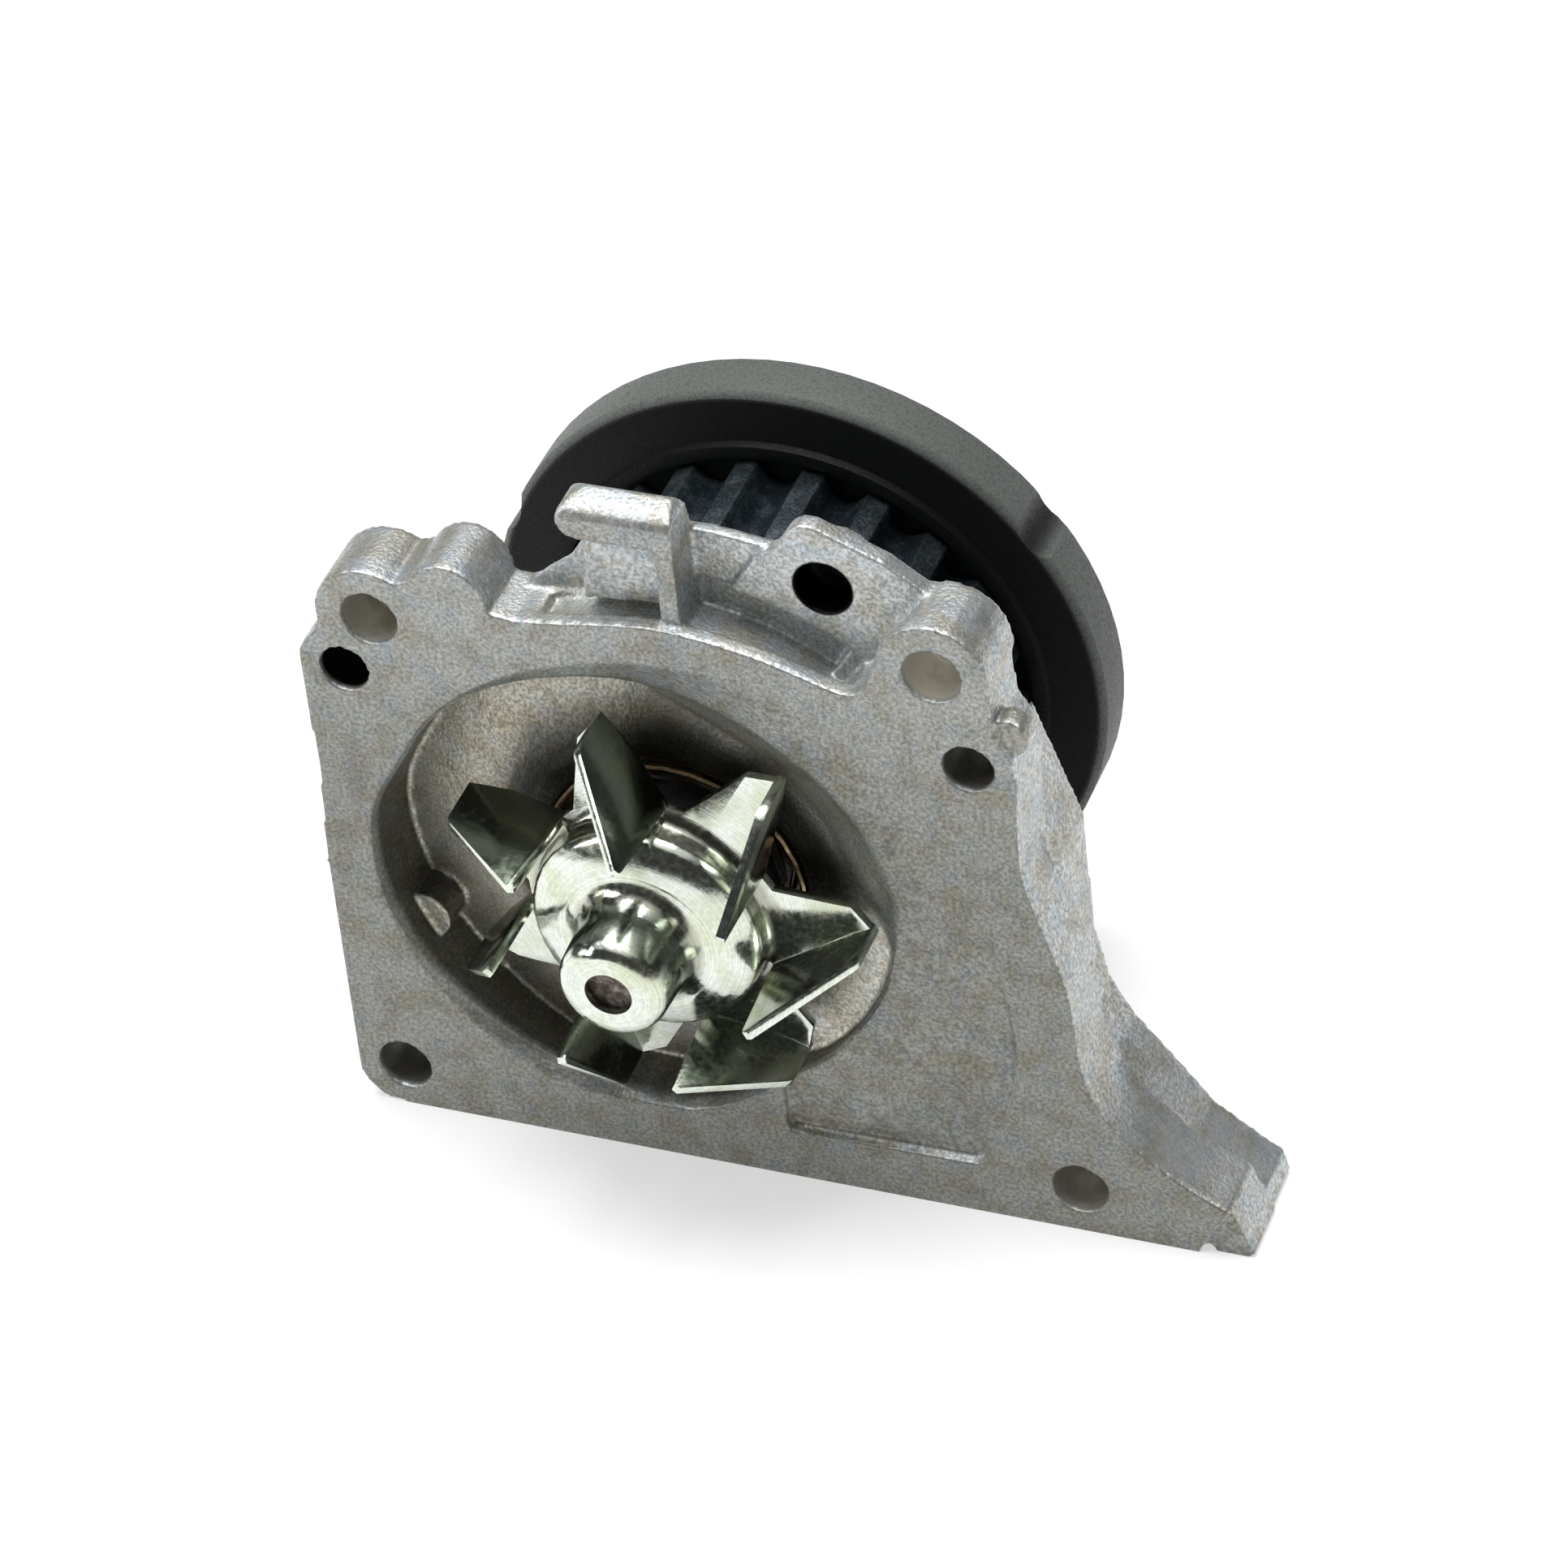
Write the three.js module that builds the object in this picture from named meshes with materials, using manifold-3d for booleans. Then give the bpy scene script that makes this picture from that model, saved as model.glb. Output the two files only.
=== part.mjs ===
// Engine coolant pump: a die-cast housing, an integral shaft bearing, a face seal, a pressed steel
// impeller and a toothed belt pulley. Millimetres. The shaft axis is Y, from the impeller towards the
// pulley, +Z is up, and the origin is where the shaft axis crosses the housing's mounting face.
import * as THREE from "three";
import { mergeVertices } from "three/addons/utils/BufferGeometryUtils.js";
import Module from "manifold-3d";

const wasm = await Module();
wasm.setup();

// Housing
const FLANGE_DEPTH = 10; // the bolting flange, from the mounting face back
const LEDGE_DEPTH = 2.5; // the flange's thin top edge, in front of the groove
const PAD_FRONT = 6.7;
const WALL_FRONT = 7.5;
const WALL_BACK = 9.5;
const GROOVE_BACK = 8.9;
const GROOVE_INNER = 42.7;
const GROOVE_OUTER = 47.8;
const RIB_BACK = 12;
const SIDE_DEPTH = 18; // the deep wall on the side of the foot
const TIP_STEP = 0.8; // how far the foot's tip stands back from the mounting face
const BOTTOM = -44.8;
const BOWL_RADIUS = 43.8;
const BOWL_BACK = 15.5;
const TOWER_RADIUS = 20.3;
const TOWER_END = 48;
const BOLTS = {
  topLeftBlind: { x: -36.4, z: 37.9, r: 3.85, depth: 8 },
  topLeft: { x: -40.9, z: 29.1, r: 3.35, depth: 30 },
  topRightBlind: { x: 39.0, z: 43.4, r: 3.85, depth: 8 },
  topRight: { x: 42.9, z: 29.7, r: 3.4, depth: 30 },
  bottomLeft: { x: -40.6, z: -38.0, r: 3.8, depth: 30 },
  foot: { x: 54.1, z: -37.7, r: 3.85, depth: 30 },
};
const PAD_HOLE = { x: 23, z: 49, r: 3.75, end: 12, bossRadius: 5.3, bossEnd: 13.2 };
const EDGE_BOSS = { x: 48.1, z: 34.9, r: 2.8, front: 0.8, back: 4 };
const HOOK_FRONT = 1.5;
const HOOK_BACK = 8;
const HOOK_LOW = 54.8;
const HOOK_TOP = 60.2;
const WEEP_RADIUS = 1.6;
const WEEP_Y = 18.5;

// Seal
const SEAL_BORE = 18;
const SEAL_FACE = 5; // front of the ring that the seal is pressed into
const SEAL_FLOOR = 15;
const THROAT_RADIUS = 12.2;
const SPRING_TURNS = 3;
const SPRING_RADIUS = 13.9;
const SPRING_WIRE = 0.55;

// Shaft bearing
const BEARING_BORE = 15;
const BEARING_FRONT = 20.3;
const BEARING_BACK = 47.3;
const RACE_RADIUS = 13.15;
const BALL_RADIUS = 3.06;
const BALL_CIRCLE = 10.57;
const BALLS = 7;
const ROW_FRONT = 27.2;
const ROW_BACK = 40.4;
const GROOVE_RADIUS = 3.3;

// Shaft
const SHAFT_RADIUS = 7.94;
const STUB_RADIUS = 6.0;
const SHOULDER_Y = -6.2;
const SHAFT_TIP = -18.2;
const SHAFT_END = 60.4;

// Impeller
const SHEET = 1.2;
const BLADES = 7;
const BLADE_ANGLE = 29; // where a blade's inner end stands, in degrees from +X
const BLADE_INNER = { r: 17.3, angle: BLADE_ANGLE };
const BLADE_OUTER = { r: 28.9, angle: BLADE_ANGLE + 22.1 };
const ARM_TIP = { r: 26.0, angle: BLADE_ANGLE + 30.8 };
const ARM_ROOT = { r: 17.5, angle: BLADE_ANGLE + 44.4 };

// Pulley
const TEETH = 22;
const TIP_RADIUS = 32.66;
const TOOTH_LAND = 2.7;
const TOOTH_DEPTH = 3.2;
const TEETH_FRONT = 27;
const TEETH_BACK = 50.6;
const RIM_INNER = 25;
const SPIGOT_RADIUS = 27;
const PLATE_RADIUS = 43.1;
const PLATE_FRONT = 50.9;
const PLATE_BACK = 59.7;
const NOTCHES = 3;
const NOTCH_ANGLE = 37;
const NOTCH_RADIUS = 6;
const NOTCH_DEPTH = 1.3;

const rad = THREE.MathUtils.degToRad;

// A closed geometry as a solid that can be cut and joined.
function toSolid(geometry) {
  const loose = geometry.index ? geometry.toNonIndexed() : geometry;
  const bare = new THREE.BufferGeometry();
  bare.setAttribute("position", loose.getAttribute("position"));
  const merged = mergeVertices(bare, 1e-3);
  return new wasm.Manifold(
    new wasm.Mesh({
      numProp: 3,
      vertProperties: merged.getAttribute("position").array,
      triVerts: new Uint32Array(merged.index.array),
    }),
  );
}

// A solid of revolution about the shaft axis, from its closed outline of [radius, y] pairs.
function turned(profile, segments = 30) {
  const points = profile.map(([r, y]) => new THREE.Vector2(r, y));
  return toSolid(new THREE.LatheGeometry(points, segments));
}

// A ring about the shaft axis.
function ring(inner, outer, front, back, segments = 30) {
  const profile = [
    [inner, front],
    [outer, front],
    [outer, back],
    [inner, back],
    [inner, front],
  ];
  return turned(profile, segments);
}

// A round bar along the shaft's direction.
function bar(x, z, radius, front, back, segments = 20) {
  const geometry = new THREE.CylinderGeometry(radius, radius, back - front, segments);
  geometry.translate(x, (front + back) / 2, z);
  return toSolid(geometry);
}

// An outline seen from the impeller's end, x to the right and z up, given depth along the shaft.
function plate(shape, front, back) {
  const geometry = new THREE.ExtrudeGeometry(shape, {
    depth: back - front,
    bevelEnabled: false,
    curveSegments: 6,
  });
  geometry.rotateX(Math.PI / 2);
  geometry.translate(0, back, 0);
  return toSolid(geometry);
}

function polygon(pairs) {
  return new THREE.Shape(pairs.map(([x, z]) => new THREE.Vector2(x, z)));
}

function polar(point, turn = 0) {
  const angle = rad(point.angle + turn);
  return [point.r * Math.cos(angle), point.r * Math.sin(angle)];
}

// The value at an angle from [angle, value] pairs in rising order, smooth between them and all round.
function around(table, angle) {
  const [start, value] = table[0];
  const closed = [...table, [start + 360, value]];
  const wrapped = start + THREE.MathUtils.euclideanModulo(angle - start, 360);
  const next = closed.findIndex(([a]) => a > wrapped);
  const [a0, v0] = closed[next - 1];
  const [a1, v1] = closed[next];
  return THREE.MathUtils.lerp(v0, v1, THREE.MathUtils.smoothstep(wrapped, a0, a1));
}

// The mounting flange's outline: four lobes for the screws, a flat bottom edge and a long foot.
function flangeOutline() {
  const { topLeftBlind, topLeft, topRightBlind, bottomLeft } = BOLTS;
  const shape = new THREE.Shape();
  shape.moveTo(bottomLeft.x - 0.9, BOTTOM);
  shape.lineTo(76.4, BOTTOM);
  shape.lineTo(77.2, -44);
  shape.lineTo(74.2, -36.9);
  shape.splineThru(
    [
      [68.4, -33.8],
      [61.3, -28.2],
      [57.2, -22.8],
      [55.3, -16],
      [54.1, -3.9],
      [50.4, 8.6],
      [49, 15.7],
      [49.3, 28.3],
    ].map(([x, z]) => new THREE.Vector2(x, z)),
  );
  shape.lineTo(48.8, 31.9);
  shape.lineTo(46.6, 35.8);
  shape.absarc(topRightBlind.x, topRightBlind.z, 7.5, rad(-18), rad(157));
  shape.quadraticCurveTo(30.4, 38.6, 28, 38.4);
  shape.splineThru(
    [
      [25.4, 38.8],
      [15, 42.1],
      [2.2, 43.8],
      [-12, 42],
      [-16.4, 41.5],
    ].map(([x, z]) => new THREE.Vector2(x, z)),
  );
  shape.absarc(-25.3, 42.8, 5.4, rad(-8), rad(155));
  shape.absarc(topLeftBlind.x, topLeftBlind.z, 7.5, rad(58), rad(192));
  shape.absarc(topLeft.x, topLeft.z, 6.3, rad(128), rad(180));
  shape.lineTo(-46.6, 12);
  shape.lineTo(-47.6, -4);
  shape.absarc(bottomLeft.x - 0.9, BOTTOM + 6, 6, Math.PI, Math.PI * 1.5);
  return shape;
}

// The deep wall along the side and under the foot, four millimetres thick.
function sideWall() {
  return polygon([
    [43.5, 33.2],
    [38.5, 32],
    [44.6, 17],
    [47.3, 8],
    [47.6, -9],
    [49.3, -17.5],
    [53, -25],
    [60, -33],
    [64.5, -38.5],
    [64.5, -40.8],
    [22, -40.8],
    [22, BOTTOM],
    [76.4, BOTTOM],
    [76.9, -44],
    [76.1, -41.1],
    [73.6, -39.5],
    [67.1, -34.9],
    [60.8, -26.9],
    [56.6, -21.9],
    [53.6, -16.3],
    [51.9, -8.4],
    [51.5, 1.6],
    [51.2, 10.6],
    [48.4, 18.6],
    [45.6, 26.5],
  ]);
}

// The wall behind the flange's top edge, which carries the hook and the pad.
function topWall() {
  return polygon([
    [-22, 36],
    [-19.6, 38.7],
    [-18, 40.7],
    [-14.8, 43.8],
    [-11.3, 46.5],
    [-9.4, 49.5],
    [-7, 52.6],
    [-2, 54.2],
    [8, 54.5],
    [10.7, 54.2],
    [16.8, 53.3],
    [18.6, 54.6],
    [24, 50],
    [40, 46],
    [36, 25],
    [-20, 25],
  ]);
}

function pad() {
  return polygon([
    [9.4, 45],
    [12, 48.8],
    [14, 52],
    [17, 54],
    [19, 57.2],
    [20.4, 58.2],
    [22.4, 58.1],
    [26.6, 56.3],
    [31.2, 54.4],
    [35.8, 51.2],
    [42, 47.5],
    [42, 38],
    [30, 34],
    [26, 36],
  ]);
}

// A sector of a ring about the shaft axis, between two angles in degrees.
function sector(inner, outer, from, to) {
  const shape = new THREE.Shape();
  shape.absarc(0, 0, inner, rad(from), rad(to));
  shape.absarc(0, 0, outer, rad(to), rad(from), true);
  return shape;
}

// The hook above the flange: a bar with a rounded end and a sloping top, a web under it and a rib in front.
function hook() {
  const front = new THREE.Shape();
  front.absarc(-7.2, 57.4, 2.6, Math.PI / 2, Math.PI * 1.5);
  front.lineTo(5.6, HOOK_LOW);
  front.lineTo(5.6, HOOK_TOP - 1.4);
  front.lineTo(5, HOOK_TOP - 0.4);
  front.lineTo(4, HOOK_TOP);
  front.lineTo(-6.8, HOOK_TOP);
  const side = new THREE.ExtrudeGeometry(
    polygon([
      [HOOK_FRONT, HOOK_LOW - 1],
      [HOOK_FRONT, HOOK_TOP - 2.4],
      [HOOK_FRONT + 0.6, HOOK_TOP - 1.4],
      [HOOK_FRONT + 2, HOOK_TOP - 0.5],
      [6, HOOK_TOP],
      [7, HOOK_TOP - 0.8],
      [HOOK_BACK, HOOK_TOP - 3.5],
      [HOOK_BACK, HOOK_LOW - 1],
    ]),
    { depth: 30, bevelEnabled: false },
  );
  side.applyMatrix4(
    new THREE.Matrix4().makeBasis(
      new THREE.Vector3(0, 1, 0),
      new THREE.Vector3(0, 0, 1),
      new THREE.Vector3(1, 0, 0),
    ),
  );
  side.translate(-15, 0, 0);
  const web = polygon([
    [-8.2, 43.5],
    [4, 44.5],
    [4, HOOK_LOW + 0.5],
    [-7.6, HOOK_LOW + 0.5],
  ]);
  const rib = polygon([
    [3.2, 42],
    [5.6, 42],
    [5.6, HOOK_LOW + 0.5],
    [3.2, HOOK_LOW + 0.5],
  ]);
  return plate(front, HOOK_FRONT, HOOK_BACK)
    .intersect(toSolid(side))
    .add(plate(web, 4.4, WALL_FRONT + 1))
    .add(plate(rib, HOOK_FRONT, WALL_FRONT + 1));
}

// The hollow that the impeller turns in. Its rim, its wall's foot and its floor change with the angle: a
// deep channel with an upright wall at the bottom and on the left, and a soft slope over the upper right.
function volute() {
  const rim = [
    [-170, 41],
    [-122, 40.6],
    [-95, 36.8],
    [-60, 32],
    [-35, 30.6],
    [-12, 31],
    [12, 39],
    [50, 40],
    [110, 37],
    [152, 38],
    [176, 40.6],
  ];
  const waist = [
    [-170, 40.8],
    [-95, 36.5],
    [-60, 31.8],
    [-35, 30.4],
    [-12, 30.8],
    [12, 32],
    [50, 32.4],
    [100, 34.4],
    [155, 37.7],
    [176, 40.5],
  ];
  const foot = [
    [-95, 36.3],
    [-60, 31.5],
    [-12, 30.2],
    [12, 25.6],
    [70, 26],
    [155, 37.4],
    [180, 40.4],
    [-122 + 360, 40],
  ];
  const floor = [
    [-150, 11.5],
    [-95, 9.5],
    [-50, 5],
    [0, 3.6],
    [45, 4.4],
    [140, 10.5],
    [170, 11.5],
  ];
  const levels = [
    [0, -2],
    [1, -2],
    [1, 0],
    [1, 1],
    [1, 11],
    [25, 8],
    [20.5, SEAL_FACE],
    [0, SEAL_FACE],
  ];
  const points = levels.map(([r, y]) => new THREE.Vector2(r, y));
  const geometry = new THREE.LatheGeometry(points, 60);
  const position = geometry.getAttribute("position");
  for (let i = 0; i < position.count; i += 1) {
    const level = i % levels.length;
    const angle = THREE.MathUtils.radToDeg(Math.atan2(position.getZ(i), position.getX(i)));
    const depth = around(floor, angle);
    let radius = levels[level][0];
    let y = levels[level][1];
    if (level === 1 || level === 2) radius = around(rim, angle);
    if (level === 3) {
      radius = around(waist, angle);
      y = depth * 0.12;
    }
    if (level === 4) {
      radius = around(foot, angle);
      y = depth;
    }
    if (level === 5) y = (depth + SEAL_FACE) / 2;
    const direction = rad(angle);
    if (radius > 0) position.setXYZ(i, radius * Math.cos(direction), y, radius * Math.sin(direction));
  }
  return toSolid(geometry);
}

// The shallow recess that leads out of the hollow to the lower right. It starts flush with the mounting
// face at its top and is deepest along its bottom edge.
function outlet() {
  const outline = new THREE.Shape();
  outline.moveTo(14, -36.8);
  outline.lineTo(39.6, -36.5);
  outline.lineTo(40.9, -36.2);
  outline.splineThru(
    [
      [43.3, -31.2],
      [45.5, -24.2],
      [46.3, -19.4],
      [46.5, -13.3],
      [45.8, -7.1],
      [44.3, -0.2],
      [42.4, 5],
    ].map(([x, z]) => new THREE.Vector2(x, z)),
  );
  outline.lineTo(20, 5);
  outline.lineTo(14, -20);
  const geometry = new THREE.ExtrudeGeometry(outline, { depth: 10, bevelEnabled: false, curveSegments: 20 });
  geometry.rotateX(Math.PI / 2);
  geometry.translate(0, 0, -4);
  geometry.rotateX(rad(2));
  geometry.translate(0, 0, 4);
  return toSolid(geometry);
}

function housing() {
  const bowl = turned(
    [
      [0, 2],
      [GROOVE_INNER - 0.1, 2],
      [GROOVE_INNER - 0.1, PAD_FRONT],
      [BOWL_RADIUS, WALL_FRONT],
      [BOWL_RADIUS, 12.5],
      [40.5, BOWL_BACK],
      [27, BOWL_BACK],
      [22.5, 18.5],
      [TOWER_RADIUS, 23],
      [TOWER_RADIUS, TOWER_END - 0.8],
      [TOWER_RADIUS - 0.8, TOWER_END],
      [0, TOWER_END],
    ],
    48,
  );
  const tip = polygon([
    [74.6, -36],
    [73.1, -39.1],
    [71.4, -41.6],
    [69.7, -45.5],
    [80, -46],
    [80, -36],
  ]);
  const tipNotch = polygon([
    [69.9, -45.5],
    [72.4, -45.5],
    [71.6, -44.1],
    [70.2, -43.7],
  ]);
  let solid = plate(flangeOutline(), 0, FLANGE_DEPTH)
    .subtract(plate(sector(GROOVE_INNER, 70, 54, 108), LEDGE_DEPTH, PAD_FRONT))
    .add(bowl)
    .add(plate(topWall(), WALL_FRONT, WALL_BACK))
    .add(plate(pad(), PAD_FRONT, WALL_BACK))
    .add(bar(PAD_HOLE.x, PAD_HOLE.z, PAD_HOLE.bossRadius, WALL_BACK - 1, PAD_HOLE.bossEnd))
    .add(plate(sector(38, 48.8, 52, 100), GROOVE_BACK, RIB_BACK))
    .subtract(plate(sector(GROOVE_INNER, GROOVE_OUTER, 57, 83), LEDGE_DEPTH, GROOVE_BACK))
    .add(hook())
    .add(plate(sideWall(), FLANGE_DEPTH - 1, SIDE_DEPTH))
    .add(bar(EDGE_BOSS.x, EDGE_BOSS.z, EDGE_BOSS.r, EDGE_BOSS.front, EDGE_BOSS.back))
    .add(bar(BOLTS.foot.x, BOLTS.foot.z, 6.9, FLANGE_DEPTH - 1, SIDE_DEPTH))
    .subtract(plate(tip, -1, TIP_STEP))
    .subtract(plate(tipNotch, -1, 4));
  solid = solid.subtract(volute()).subtract(outlet());
  solid = solid.add(bar(-37.4, -15.9, 3.7, 5.6, 13, 20));
  for (const bolt of Object.values(BOLTS)) {
    solid = solid.subtract(bar(bolt.x, bolt.z, bolt.r, -1, bolt.depth));
  }
  solid = solid.subtract(bar(PAD_HOLE.x, PAD_HOLE.z, PAD_HOLE.r, 0, PAD_HOLE.end));
  solid = solid
    .subtract(bar(0, 0, SEAL_BORE, 0, SEAL_FLOOR, 30))
    .subtract(bar(0, 0, THROAT_RADIUS, 0, 30, 30))
    .subtract(bar(0, 0, BEARING_BORE, BEARING_FRONT - 0.1, 60, 36))
    .subtract(ring(0.5, 13.8, WEEP_Y - 1.6, WEEP_Y + 1.2));
  const weep = new THREE.CylinderGeometry(WEEP_RADIUS, WEEP_RADIUS, 30, 16);
  weep.rotateX(Math.PI / 2);
  weep.translate(0, WEEP_Y, -26);
  return solid.subtract(toSolid(weep));
}

// The part of a ball groove's outline at y from -half to +half of the row's middle.
function grooveArc(row, circle, side, half, steps) {
  const arc = [];
  for (let i = 0; i <= steps; i += 1) {
    const y = -half + (2 * half * i) / steps;
    arc.push([circle + side * Math.sqrt(GROOVE_RADIUS ** 2 - y * y), row + y]);
  }
  return arc;
}

function shaft() {
  const circle = BALL_CIRCLE + 0.13;
  const half = Math.sqrt(GROOVE_RADIUS ** 2 - (circle - SHAFT_RADIUS) ** 2);
  return turned([
    [0, SHAFT_TIP],
    [STUB_RADIUS - 0.8, SHAFT_TIP],
    [STUB_RADIUS, SHAFT_TIP + 0.8],
    [STUB_RADIUS, SHOULDER_Y],
    [SHAFT_RADIUS - 0.4, SHOULDER_Y],
    [SHAFT_RADIUS, SHOULDER_Y + 0.4],
    ...grooveArc(ROW_FRONT, circle, -1, half, 4),
    ...grooveArc(ROW_BACK, circle, -1, half, 4),
    [SHAFT_RADIUS, SHAFT_END - 0.8],
    [SHAFT_RADIUS - 0.8, SHAFT_END],
    [0, SHAFT_END],
  ], 36);
}

function bearingRing() {
  const circle = BALL_CIRCLE - 0.15;
  const half = Math.sqrt(GROOVE_RADIUS ** 2 - (RACE_RADIUS - circle) ** 2);
  const outer = BEARING_BORE - 0.05;
  return turned([
    [RACE_RADIUS, BEARING_FRONT],
    [outer - 0.6, BEARING_FRONT],
    [outer, BEARING_FRONT + 0.6],
    [outer, BEARING_BACK - 0.6],
    [outer - 0.6, BEARING_BACK],
    [RACE_RADIUS, BEARING_BACK],
    ...grooveArc(ROW_BACK, circle, 1, half, 4).reverse(),
    ...grooveArc(ROW_FRONT, circle, 1, half, 4).reverse(),
    [RACE_RADIUS, BEARING_FRONT],
  ], 36);
}

function ball(row, index) {
  const geometry = new THREE.SphereGeometry(BALL_RADIUS, 12, 7);
  const angle = (2 * Math.PI * index) / BALLS;
  geometry.translate(BALL_CIRCLE * Math.cos(angle), row, BALL_CIRCLE * Math.sin(angle));
  return toSolid(geometry);
}

function cage(row) {
  let solid = ring(9.3, 11.9, row - 4.1, row + 4.1);
  for (let i = 0; i < BALLS; i += 1) {
    const window = new THREE.CylinderGeometry(3.35, 3.35, 8, 12);
    window.rotateZ(Math.PI / 2);
    window.translate(BALL_CIRCLE, row, 0);
    window.rotateY((-2 * Math.PI * i) / BALLS);
    solid = solid.subtract(toSolid(window));
  }
  return solid;
}

function bearingSeal(front) {
  return turned([
    [SHAFT_RADIUS + 0.08, front + 0.3],
    [9.2, front],
    [RACE_RADIUS - 0.1, front],
    [RACE_RADIUS - 0.1, front + 1.1],
    [9.2, front + 1.1],
    [SHAFT_RADIUS + 0.08, front + 0.7],
    [SHAFT_RADIUS + 0.08, front + 0.3],
  ]);
}

function slinger() {
  return turned([
    [SHAFT_RADIUS + 0.05, 15.4],
    [9, 15.4],
    [9.2, 16.2],
    [11.4, 16.6],
    [11.4, 17.2],
    [9, 17],
    [SHAFT_RADIUS + 0.05, 17],
    [SHAFT_RADIUS + 0.05, 15.4],
  ]);
}

function sealCup() {
  const wall = SEAL_BORE - 0.06;
  return turned([
    [wall - 0.7, SEAL_FACE - 0.6],
    [wall - 0.3, SEAL_FACE - 0.8],
    [wall, SEAL_FACE - 0.5],
    [wall, SEAL_FLOOR - 0.2],
    [9.6, SEAL_FLOOR - 0.2],
    [9.6, SEAL_FLOOR - 0.9],
    [wall - 0.7, SEAL_FLOOR - 0.9],
    [wall - 0.7, SEAL_FACE - 0.6],
  ]);
}

function sealBellows() {
  return turned([
    [9.7, 5],
    [12.9, 5],
    [12.9, 6.2],
    [11.2, 6.8],
    [12.4, 9.8],
    [11.2, 12.8],
    [12.3, 13.8],
    [10, 13.8],
    [10, 12.6],
    [11.2, 9.8],
    [9.7, 6.4],
    [9.7, 5],
  ]);
}

// A coil of round wire, closed at both ends.
function sealSpring() {
  class Helix extends THREE.Curve {
    getPoint(t, target = new THREE.Vector3()) {
      const angle = 2 * Math.PI * SPRING_TURNS * t;
      return target.set(
        SPRING_RADIUS * Math.cos(angle),
        THREE.MathUtils.lerp(7.2, 13.2, t),
        SPRING_RADIUS * Math.sin(angle),
      );
    }
  }
  const wire = new THREE.Shape();
  wire.absarc(0, 0, SPRING_WIRE, 0, Math.PI * 2);
  const geometry = new THREE.ExtrudeGeometry(wire, {
    steps: SPRING_TURNS * 14,
    curveSegments: 3,
    bevelEnabled: false,
    extrudePath: new Helix(),
  });
  return toSolid(geometry);
}

function carbonRing() {
  return turned([
    [9.3, 2.4],
    [10, 1.8],
    [12, 1.8],
    [12.6, 2.4],
    [13.1, 2.4],
    [13.1, 4.7],
    [9.3, 4.7],
    [9.3, 2.4],
  ]);
}

function sealBoot() {
  return turned([
    [SHAFT_RADIUS + 0.05, -3.8],
    [12.9, -3.8],
    [12.9, -2.6],
    [9.2, -2.6],
    [9.2, 1],
    [SHAFT_RADIUS + 0.05, 1],
    [SHAFT_RADIUS + 0.05, -3.8],
  ]);
}

// One blade: a flat piece folded up from the edge of its arm, tall at the hub and low at the tip.
function blade(turn) {
  const [x0, z0] = polar(BLADE_INNER, turn);
  const [x1, z1] = polar(BLADE_OUTER, turn);
  const along = new THREE.Vector3(x1 - x0, 0, z1 - z0);
  const length = along.length();
  along.normalize();
  const up = new THREE.Vector3(0, -1, 0);
  const across = new THREE.Vector3().crossVectors(along, up);
  const shape = polygon([
    [0, 1.5],
    [length - 6, -1.1],
    [length, -1.1],
    [length, 6.2],
    [length - 0.7, 7.1],
    [2, 17],
    [1.2, 16.8],
    [1, 16.2],
  ]);
  const geometry = new THREE.ExtrudeGeometry(shape, { depth: SHEET, bevelEnabled: false });
  geometry.translate(0, 0, -SHEET);
  geometry.applyMatrix4(new THREE.Matrix4().makeBasis(along, up, across).setPosition(x0, 0, z0));
  return toSolid(geometry);
}

function impeller() {
  const sheet = turned([
    [3.2, -19.7],
    [5.2, -19.7],
    [6.6, -19.1],
    [7.35, -17.8],
    [7.55, -13.2],
    [8, -10.9],
    [8.9, -9.6],
    [10.3, -9],
    [11.2, -9],
    [11.9, -8.5],
    [12.9, -8.4],
    [13.6, -7.8],
    [14.6, -7.4],
    [15.3, -6.7],
    [15.6, -5.6],
    [15.6, -3.9],
    [16.2, -3],
    [17.5, -2.5],
    [26, 0],
    [30, 0],
    [30, SHEET],
    [25.8, SHEET],
    [17.2, -1.3],
    [15.2, -2],
    [14.4, -3.4],
    [14.4, -5.4],
    [13.2, -6.6],
    [10.6, -7.6],
    [8.2, -8.2],
    [6.9, -9.4],
    [6.3, -10.8],
    [6.05, -13.2],
    [6.05, -17.6],
    [5.7, -18.3],
    [5, -18.5],
    [3.2, -18.5],
    [3.2, -19.7],
  ], 36);
  const outline = [];
  for (let i = 0; i < BLADES; i += 1) {
    const turn = (360 * i) / BLADES;
    for (const corner of [BLADE_INNER, BLADE_OUTER, ARM_TIP, ARM_ROOT]) outline.push(polar(corner, turn));
  }
  let solid = sheet.intersect(plate(polygon(outline), -25, 5));
  for (let i = 0; i < BLADES; i += 1) solid = solid.add(blade((360 * i) / BLADES));
  return solid;
}

// The belt teeth's outline: narrow lands between round-bottomed grooves.
function toothOutline() {
  const pitch = (2 * Math.PI) / TEETH;
  const land = TOOTH_LAND / TIP_RADIUS;
  const outline = [];
  const steps = 6;
  for (let i = 0; i < TEETH; i += 1) {
    const start = i * pitch + rad(81.3) - land / 2;
    outline.push([TIP_RADIUS * Math.cos(start), TIP_RADIUS * Math.sin(start)]);
    for (let j = 0; j < steps; j += 1) {
      const t = j / (steps - 1);
      const angle = start + land + (pitch - land) * (0.02 + 0.96 * t);
      const radius = TIP_RADIUS - TOOTH_DEPTH * Math.sin(Math.PI * t) ** 0.55;
      outline.push([radius * Math.cos(angle), radius * Math.sin(angle)]);
    }
  }
  return polygon(outline);
}

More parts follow.
